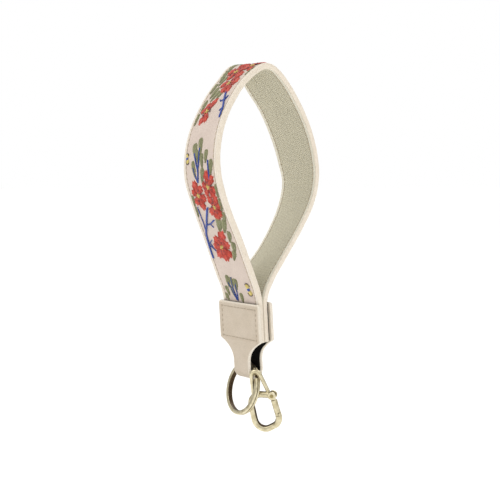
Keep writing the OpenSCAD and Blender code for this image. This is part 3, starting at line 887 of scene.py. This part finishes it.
class WRISTLET_OT_embroidery(bpy.types.Operator):
    """Lay the embroidery threads: leaves, branches, blossoms, centres and butterflies"""
    bl_idname = "wristlet.embroidery"
    bl_label = "Embroidery"

    def execute(self, context):
        kit = context.scene.wristlet_embroidery
        pitch = kit.pitch / MM * 1
        tree = thread_tree()
        leaves, petals, hearts, stems, wings, marks = (Threads(seed) for seed in range(11, 17))
        for repeat in REPEATS:
            on = np.array([repeat, 0.0])
            for a, b, width in LEAVES:
                satin_leaf(leaves, on + a, on + b, width, pitch)
            for centre, shape in BLOSSOMS:
                for k, (tip, width) in enumerate(shape):
                    satin_petal(petals, on + centre, on + tip, width, pitch, k % 3)
                self.heart(hearts, marks, on + centre)
            for points, wide in BRANCHES:
                self.branch(stems, [on + p for p in points], wide)
            for centre, size in BUTTERFLIES:
                self.butterfly(wings, stems, marks, on + centre, size)
        red = thread_material("rayon embroidery thread, red", "#A82A1C", kit.blossom_colour,
                              0.8, 0.42)
        yellow = thread_material("rayon embroidery thread, yellow", "#D8BC4C", "#F0DF8E",
                                 0.8, 0.42)
        green = thread_material("rayon embroidery thread, olive", "#72734C", kit.leaf_colour,
                                0.8, 0.45)
        blue = thread_material("rayon embroidery thread, royal blue", "#223F94",
                               kit.branch_colour, 0.8, 0.42)
        dark = thread_material("rayon embroidery thread, charcoal", "#3A2A35", "#5A4450",
                               0.8, 0.45)
        for threads, name, thread, slot, node in (
                (leaves, "leaf_threads", green, "green_thread", "embroidered_leaves"),
                (stems, "branch_threads", blue, "blue_thread", "embroidered_branches"),
                (petals, "blossom_threads", red, "red_thread", "embroidered_blossoms"),
                (hearts, "blossom_centre_threads", yellow, "yellow_thread", "blossom_centres"),
                (wings, "butterfly_threads", yellow, "yellow_thread", "embroidered_butterflies"),
                (marks, "outline_threads", dark, "blue_thread", None)):
            piece = threads.piece(name, tree, thread, kit.thread_d)
            finish_piece(piece, "strap", slot, *([node] if node else []))
        return {"FINISHED"}

    def heart(self, hearts, marks, centre):
        """Short yellow stitches crossing at a blossom's centre, with a few dark ones."""
        for k in range(7):
            turn = math.radians(51 * k + hearts.draw.uniform(-18, 18))
            out = np.array([math.cos(turn), math.sin(turn)])
            reach = hearts.draw.uniform(0.9, 1.9)
            hearts.lay(centre + out * 0.15, centre + out * reach, 0.5, 0.6, base=0.24, points=5)
        for k in range(7):
            turn = math.radians(51 * k + marks.draw.uniform(0, 50))
            out = np.array([math.cos(turn), math.sin(turn)])
            far = marks.draw.uniform(1.7, 2.4)
            marks.lay(centre + out * far, centre + out * (far + 1.2), 0.46, 0.5, base=0.2,
                      points=5)

    def branch(self, stems, points, wide):
        """Stem stitches: short threads, each starting beside the middle of the last."""
        path = np.array(points)
        legs = np.concatenate([[0], np.cumsum(np.linalg.norm(np.diff(path, axis=0), axis=1))])
        for lane in range(wide):
            off = (lane - (wide - 1) / 2) * LANE
            for at in np.arange(0.35 * lane, legs[-1] - 0.6, STEM_STEP):
                ends = [np.array([np.interp(d, legs, path[:, k]) for k in (0, 1)])
                        for d in (at, min(legs[-1], at + STEM_LEN))]
                run = (ends[1] - ends[0]) / max(0.1, np.linalg.norm(ends[1] - ends[0]))
                side = np.array([-run[1], run[0]])
                stems.lay(ends[0] + side * (off - 0.14), ends[1] + side * (off + 0.14), 0.36,
                          0.4 + 0.2 * lane, base=0.12)

    def butterfly(self, wings, stems, marks, centre, size):
        """Two yellow wings with a blue body between them and a dark outline."""
        for way in (-1, 1):
            middle_of_wing = centre + np.array([2.0 * way, -0.5 * way]) * size
            for k in range(12):
                turn = math.radians(30 * k)
                out = np.array([1.9 * math.cos(turn), 1.7 * math.sin(turn)]) * size
                wings.lay(middle_of_wing + out * 0.1, middle_of_wing + out, 0.3, 0.7, points=5)
            for k in range(5):
                turn = math.radians(-60 + 30 * k + (0 if way > 0 else 180))
                out = np.array([2.1 * math.cos(turn), 1.9 * math.sin(turn)]) * size
                turn += math.radians(27)
                onward = np.array([2.1 * math.cos(turn), 1.9 * math.sin(turn)]) * size
                marks.lay(middle_of_wing + out, middle_of_wing + onward, 0.32, 0.4, points=4)
        for k in range(5):
            x_off = (k - 2) * 0.36 * size
            long = (1.3 - 0.26 * abs(k - 2)) * size
            stems.lay(centre + [long, x_off], centre + [-long, x_off], 0.42, 0.8, base=0.14)


# ---- Tab ----
TAB_RIM = 1.1        # width of the leather that closes over the lining's edge
BOX_MARGIN = 2.9     # from the tab's edges to its box of stitches
BOX_BOTTOM = 20.0    # depth of the box's lowest row
BOX_SEAT = 0.26      # how far the box sits below the surface, in its dip
BOX_THREAD_D = 0.42 * MM
LINING_SHORT, LINING_MOVE = 1.5, 1.4   # lining past the rim, and how much less at the tongue


def tab_relief(v, x):
    """The leather dips along its box of stitches and swells outside it."""
    z = leaf_depth(v)
    half = TAB_W / 2 - BOX_MARGIN
    dx, dz = np.abs(x) - half, np.maximum(BOX_MARGIN - z, z - BOX_BOTTOM)
    off = np.where((dx > 0) & (dz > 0), np.hypot(dx, dz), np.maximum(dx, dz))
    swell = 0.28 * np.exp(-((off - 1.4) / 0.9) ** 2) * (z < TAB_H + 4)
    return swell - 0.3 * np.exp(-(off / 0.5) ** 2)


def tab_outline(v, h_in, h_out, inset, relief):
    """Outline across the folded sheet at v, rounded where its edges were painted."""
    w = max(0.5, float(half_width(np.array(v))) - inset)
    thick = h_out - h_in
    r = thick / 2
    x = np.concatenate([-w + r * (1 - np.cos(np.linspace(0, math.pi / 2, 6))),
                        np.linspace(-w + r, w - r, 61)[1:-1],
                        w - r * (1 - np.cos(np.linspace(math.pi / 2, 0, 6)))])
    rim = np.maximum(0, np.abs(x) - (w - r)) / r
    lens = r * np.sqrt(np.maximum(0, 1 - np.minimum(1, rim) ** 2)) * 0.98 + 0.02 * r
    lens *= end_scale(min(v, SHEET_LEN - v), TAB_END_R)
    mid = (h_in + h_out) / 2
    if not relief:
        return np.concatenate([np.stack([x, mid + lens], -1),
                               np.stack([x, mid - lens], -1)[::-1]])
    top = mid + lens + tab_relief(np.full(len(x), v), x) * (rim < 0.5)
    closed = 1 - smooth_step(w - np.abs(x), TAB_RIM - 0.3, TAB_RIM)
    under = mid - lens + (TAB_LINING_T - 0.03) * (1 - closed)
    return np.concatenate([np.stack([x, top], -1), np.stack([x, under], -1)[::-1]])


def lining_inset(v):
    """The lining stops short of the painted rim, and further in beside the strap."""
    z = leaf_depth(v)
    return TAB_RIM + LINING_SHORT - LINING_MOVE * float(smooth_step(z, TAB_H, TAB_H + 3))


class WRISTLET_OT_tab(bpy.types.Operator):
    """Build the folded leather tab with its black lining and its boxes of stitches"""
    bl_idname = "wristlet.tab"
    bl_label = "Tab"

    def execute(self, context):
        kit = context.scene.wristlet_tab
        sheet_rows = rounded_ends(SHEET_LEN, 0.45, TAB_END_R)
        hide = leather_material("beige calf leather, painted edges", kit.colour,
                                kit.edge_colour, "#C3B5A2", 0.9, 0.06)
        black = plain_material("black cotton drill, woven", "#1B1918", 0.9, 1800, 0.0001,
                               "#100F0F", 0.15)

        def painted(along, across, height):
            rim = np.minimum(half_width(along) - np.abs(across),
                             np.minimum(along, SHEET_LEN - along))
            under = 1 - smooth_step(height, 0.8, 1.3)
            return np.maximum(1 - smooth_step(rim, 0.2, 1.2), under)

        lining_h, leather_h = TAB_LINING_T, TAB_LINING_T + LEATHER_T
        leather = sweep("tab_leather_sheet", sheet_rows,
                        lambda v: tab_outline(v, 0, leather_h, 0, True),
                        on_tab, hide, painted)
        lining = sweep("tab_black_lining", sheet_rows,
                       lambda v: tab_outline(v, 0.05, lining_h, lining_inset(v), False),
                       on_tab, black)
        finish_piece(leather, "strap", "tab_leather", "tab_leather")
        finish_piece(lining, "strap", "black_lining", "tab_lining")
        v = np.linspace(0, SHEET_LEN, 400)
        area = float(np.mean(2 * half_width(v))) * SHEET_LEN * MM * MM
        thread = thread_material("waxed polyester thread, braided", "#B0A18A", "#CBBDA6",
                                 0.9, 0.5)
        # Colour of the awl-hole discs: painted shade in the holes
        hole = plain_material("awl hole in leather, painted shade", "#6B5D4C", 0.9, 3000, 0.00001,
                              "#574A3C", 0.1)
        tree = stitch_tree()
        half = TAB_W / 2 - BOX_MARGIN
        for word, flip in (("front", False), ("back", True)):
            corners = [(BOX_MARGIN, -half), (BOX_MARGIN, half), (BOX_BOTTOM, half),
                       (BOX_BOTTOM, -half), (BOX_MARGIN, -half)]
            rows = []
            for (za, xa), (zb, xb) in zip(corners, corners[1:]):
                n = int(math.hypot(zb - za, xb - xa) / 0.6)
                z, x = np.linspace(za, zb, n), np.linspace(xa, xb, n)
                sheet_v = SHEET_LEN - z if flip else z
                rows.append(stitched_line(on_tab, sheet_v, x, leather_h - BOX_SEAT))
            sew("tab_stitch_thread_" + word, "tab_stitching_" + word, rows, tree,
                {"material": thread, "hole": hole}, kit.stitch_pitch, 0.72, BOX_THREAD_D)
        return {"FINISHED"}


# ---- Hardware ----
RING_MID_R = 13.8
RING_WIRE = 2.4
RING_COIL = 1.5
RING_CORNER = 0.42   # rounding of the flattened wire
COIL_PLAY = 0.015    # half the air between the coils
RING_X = -1.0
RING_SEAT = 0.1
RING_YAW = math.radians(-10)
RING_TILT = math.radians(15)
JOG_AT = math.radians(41)
JOG = math.radians(15)


def ring_frame():
    """Centre of the split ring, its right and up directions and its axis towards the front."""
    turn = Matrix.Rotation(RING_YAW, 3, "Z") @ Matrix.Rotation(-RING_TILT, 3, "X")
    drop = math.sqrt(RING_MID_R ** 2 - (TONGUE_W / 2 - RING_X) ** 2)
    top = np.array(JOINTS["ring_swing"]["pos_m"])
    right, up, axis = (np.array(turn @ Vector(v)) for v in ((1, 0, 0), (0, 0, 1), (0, -1, 0)))
    return top - up * drop * MM, right, up, axis


class WRISTLET_OT_split_ring(bpy.types.Operator):
    """Wind the split ring: two turns of flattened wire that cross over once"""
    bl_idname = "wristlet.split_ring"
    bl_label = "Split ring"

    def execute(self, context):
        kit = context.scene.wristlet_hardware
        brass = brass_material("antiqued brass plate, tumbled", kit.bright, "#C2B797",
                               kit.dark, kit.roughness)
        centre, right, up, axis = ring_frame()
        phases = np.linspace(JOG / 2, 4 * math.pi - JOG / 2, 480)
        w, t, r = RING_WIRE / 2, RING_COIL / 2 - COIL_PLAY, RING_CORNER
        corner = np.linspace(0, math.pi / 2, 5)
        quarter = [np.stack([w - r + r * np.cos(corner), t - r + r * np.sin(corner)], -1)]
        quarter.append(quarter[0][::-1] * [-1, 1])
        outline = np.concatenate(quarter + [q * [-1, -1] for q in quarter])

        def section(phase):
            end = min(phase - phases[0], phases[-1] - phase) * RING_MID_R
            return outline * float(end_scale(end, 0.35))

        def place(phase, a, b):
            lift = RING_COIL * (smooth_step(phase, 2 * math.pi - JOG / 2,
                                            2 * math.pi + JOG / 2) - 0.5)
            radius = (RING_MID_R + a)[:, None] * MM
            turn = JOG_AT + phase
            flat = np.cos(turn)[:, None] * right + np.sin(turn)[:, None] * up
            return centre + flat * radius + axis * ((b + lift) * MM)[:, None]

        def oxide_and_painted_shade(phase, a, b):
            # Painted shade with the oxidised finish: darkens the ring's inner face and the faces
            # where its two coils meet
            lower = phase < 2 * math.pi
            groove = smooth_step(np.where(lower, b, -b), t - 0.5, t)
            return np.maximum(0.95 * smooth_step(-a, 0.75, 1.15), 0.9 * groove)

        ring = sweep("split_ring_wire", phases, section, place, brass, oxide_and_painted_shade)
        finish_piece(ring, "ring", "antique_brass", "split_ring")
        return {"FINISHED"}


CLIP_YAW = math.radians(30)
CLIP_TILT = math.radians(7)
CLIP_TURN = Matrix.Rotation(CLIP_YAW, 3, "Z") @ Matrix.Rotation(CLIP_TILT, 3, "X")
KNUCKLE = (7.3, -6.9)
HOOK_CENTRE = (3.3, -16.9)
EYE_CENTRE = (0.2, -0.6)


def in_clip_plane(points):
    """Positions in the clip's own plane: right, up and away from the front, in millimetres."""
    axes = np.array(CLIP_TURN)
    start = np.array(JOINTS["gate_open"]["pos_m"])
    local = (points - start) @ axes / MM
    return local[:, 0] + KNUCKLE[0], local[:, 2] + KNUCKLE[1], local[:, 1]


def cast_copy(node, name, voxel, rounds, finish):
    """A copy of a solid, remeshed finely and softened the way a casting's corners are."""
    mesh = frame["nodes"][node].data.copy()
    work = bmesh.new()
    work.from_mesh(mesh)
    bmesh.ops.remove_doubles(work, verts=work.verts, dist=1e-6)
    work.to_mesh(mesh)
    work.free()
    raw = bpy.data.objects.new(name + "_raw", mesh)
    bpy.context.scene.collection.objects.link(raw)
    maker = raw.modifiers.new("remesh", "REMESH")
    maker.mode, maker.voxel_size = "VOXEL", voxel
    graph = bpy.context.evaluated_depsgraph_get()
    done = bpy.data.meshes.new_from_object(raw.evaluated_get(graph), depsgraph=graph)
    bpy.data.objects.remove(raw)
    work = bmesh.new()
    work.from_mesh(done)
    for _ in range(rounds):
        bmesh.ops.smooth_vert(work, verts=work.verts, factor=0.5, use_axis_x=True,
                              use_axis_y=True, use_axis_z=True)
    bmesh.ops.recalc_face_normals(work, faces=work.faces)
    work.to_mesh(done)
    work.free()
    done.name = name
    piece = new_object(name, done, finish)
    count = len(done.vertices)
    points, normals = np.empty(count * 3), np.empty(count * 3)
    done.vertices.foreach_get("co", points)
    done.vertices.foreach_get("normal", normals)
    x, z, y = in_clip_plane(points.reshape(-1, 3))
    local_n = normals.reshape(-1, 3) @ np.array(CLIP_TURN)
    shade = np.zeros(count)
    # Painted shade mixed with the oxidised finish: faces that look into the hook, below its bar,
    # and less so those that look into the eye
    for (cx, cz), reach, near in ((HOOK_CENTRE, 1.0, smooth_step(-z, 5.5, 7.5)),
                                  (EYE_CENTRE, 0.75, smooth_step(z, -7.0, -5.0))):
        to = np.stack([cx - x, cz - z], -1)
        far = np.linalg.norm(to, axis=1)
        facing = (to[:, 0] * local_n[:, 0] + to[:, 1] * local_n[:, 2]) / np.maximum(far, 0.01)
        shade = np.maximum(shade, reach * near * smooth_step(facing, 0.45, 0.9))
    layer = done.attributes.new("edge", "FLOAT", "POINT")
    layer.data.foreach_set("value", shade)
    return piece


class WRISTLET_OT_clip(bpy.types.Operator):
    """Cast the clip's body and its gate, and finish its pin and spring"""
    bl_idname = "wristlet.clip"
    bl_label = "Clip"

    def execute(self, context):
        kit = context.scene.wristlet_hardware
        brass = brass_material("antiqued brass plate, die cast", kit.bright, "#C0B593",
                               kit.dark, kit.roughness + 0.02)
        voxel = 0.12 * MM
        body = cast_copy("clip_body", "clip_cast_body", voxel, 3, brass)
        gate = cast_copy("clip_gate", "clip_cast_gate", voxel, 2, brass)
        finish_piece(body, "clip", "antique_brass", "clip_body")
        finish_piece(gate, "gate", "antique_brass", "clip_gate")
        pin = plain_metal("brass rivet, headed", "#A8996C", "#7C6E48", 0.3)
        wire = plain_metal("spring steel wire, drawn", "#B4B1A8", "#8A877F", 0.25)
        for node, finish in (("gate_pin", pin), ("gate_spring", wire)):
            mesh = frame["nodes"][node].data
            mesh.materials.clear()
            mesh.materials.append(finish)
        return {"FINISHED"}


# ---- Stage ----
FLOOR_HALF, FLOOR_Z = 80.0, -0.32
FLOOR_GLOW = 0.08   # keeps the floor as white as the world behind it
LIGHT_AIM = (0, 0, -0.09)
CAMERA_AT = (0.3642, -0.3242, -0.0614)
CAMERA_TURN = (math.radians(85.7), 0, math.radians(48))
LENS_MM, SENSOR_MM = 63.5, 36.0


def soft_light(name, place, aim, size, power, tint):
    lamp = bpy.data.lights.new(name, "AREA")
    lamp.shape, lamp.size = "DISK", size
    lamp.energy, lamp.color = power, tint
    made = bpy.data.objects.new(name, lamp)
    made.location = place
    made.rotation_euler = (Vector(aim) - Vector(place)).to_track_quat("-Z", "Y").to_euler()
    bpy.context.scene.collection.objects.link(made)


class WRISTLET_OT_stage(bpy.types.Operator):
    """Set up the pale floor, the soft studio lights and the camera"""
    bl_idname = "wristlet.stage"
    bl_label = "Stage"

    def execute(self, context):
        scene = context.scene
        scene.view_settings.view_transform = "Standard"
        world = bpy.data.worlds.new("studio")
        scene.world = world
        world.use_nodes = True
        tree = world.node_tree
        tree.nodes.clear()
        way = add(tree, "ShaderNodeTexCoord").outputs["Generated"]
        parts = add(tree, "ShaderNodeSeparateXYZ", {"Vector": way})
        rise = add(tree, "ShaderNodeMapRange", {
            "Value": parts.outputs["Z"], "From Min": 0.0, "From Max": 0.8,
            "To Min": 0.35, "To Max": 1.2})
        seen = add(tree, "ShaderNodeBackground", {"Color": (1, 1, 1, 1), "Strength": 1.0})
        lit = add(tree, "ShaderNodeBackground", {
            "Color": srgb("#FBFAF8"), "Strength": rise.outputs[0]})
        direct = add(tree, "ShaderNodeLightPath").outputs["Is Camera Ray"]
        both = add(tree, "ShaderNodeMixShader", {0: direct, 1: lit.outputs[0],
                                                 2: seen.outputs[0]})
        add(tree, "ShaderNodeOutputWorld", {"Surface": both.outputs[0]})
        mesh = bpy.data.meshes.new("floor")
        corners = [(x * FLOOR_HALF, y * FLOOR_HALF, FLOOR_Z)
                   for x, y in ((-1, -1), (1, -1), (1, 1), (-1, 1))]
        mesh.from_pydata(corners, [], [(0, 1, 2, 3)])
        pale = plain_material("matt white backdrop paper, rolled out", "#FFFFFF", 0.9, 40,
                              0.0001, "#FDFDFC", 0.1)
        fill(pale.node_tree, pale.node_tree.nodes["Principled BSDF"], {
            "Emission Color": (1, 1, 1, 1), "Emission Strength": FLOOR_GLOW})
        floor = new_object("floor", mesh, pale)
        soft_light("key", (-0.35, -0.75, 0.55), LIGHT_AIM, 0.7, 2.6, (1.0, 0.985, 0.96))
        soft_light("fill", (0.9, 0.05, 0.25), LIGHT_AIM, 0.8, 1.2, (0.98, 0.99, 1.0))
        soft_light("back", (-0.3, 0.8, 0.45), LIGHT_AIM, 0.6, 1.2, (1.0, 1.0, 1.0))
        lens = bpy.data.cameras.new("camera")
        lens.lens, lens.sensor_width = LENS_MM, SENSOR_MM
        lens.clip_start, lens.clip_end = 0.01, 50.0
        camera = bpy.data.objects.new("camera", lens)
        camera.location = CAMERA_AT
        camera.rotation_euler = CAMERA_TURN
        scene.collection.objects.link(camera)
        scene.camera = camera
        return {"FINISHED"}


class WRISTLET_PT_panel(bpy.types.Panel):
    """Lists the pieces of the wristlet and their settings"""
    bl_label = "Wristlet keychain"
    bl_idname = "WRISTLET_PT_panel"
    bl_space_type = "VIEW_3D"
    bl_region_type = "UI"
    bl_category = "Wristlet"

    def draw(self, context):
        for group in GROUPS:
            box = self.layout.box()
            settings = getattr(context.scene, group)
            for key in GROUPS[group].__annotations__:
                box.prop(settings, key)
        for operator in OPERATORS:
            self.layout.operator(operator.bl_idname)


GROUPS = {"wristlet_strap": StrapSettings, "wristlet_embroidery": EmbroiderySettings,
          "wristlet_tab": TabSettings, "wristlet_hardware": HardwareSettings}
OPERATORS = (WRISTLET_OT_stage, WRISTLET_OT_strap, WRISTLET_OT_topstitching,
             WRISTLET_OT_embroidery, WRISTLET_OT_tab, WRISTLET_OT_split_ring, WRISTLET_OT_clip)


def register():
    for kind in (*GROUPS.values(), *OPERATORS, WRISTLET_PT_panel):
        bpy.utils.register_class(kind)
    for name, kind in GROUPS.items():
        setattr(bpy.types.Scene, name, bpy.props.PointerProperty(type=kind))


def unregister():
    for name in GROUPS:
        delattr(bpy.types.Scene, name)
    for kind in reversed((*GROUPS.values(), *OPERATORS, WRISTLET_PT_panel)):
        bpy.utils.unregister_class(kind)


def main():
    register()
    bpy.ops.wristlet.stage()
    bpy.ops.wristlet.strap()
    bpy.ops.wristlet.topstitching()
    bpy.ops.wristlet.embroidery()
    bpy.ops.wristlet.tab()
    bpy.ops.wristlet.split_ring()
    bpy.ops.wristlet.clip()


if __name__ == "__main__":
    main()
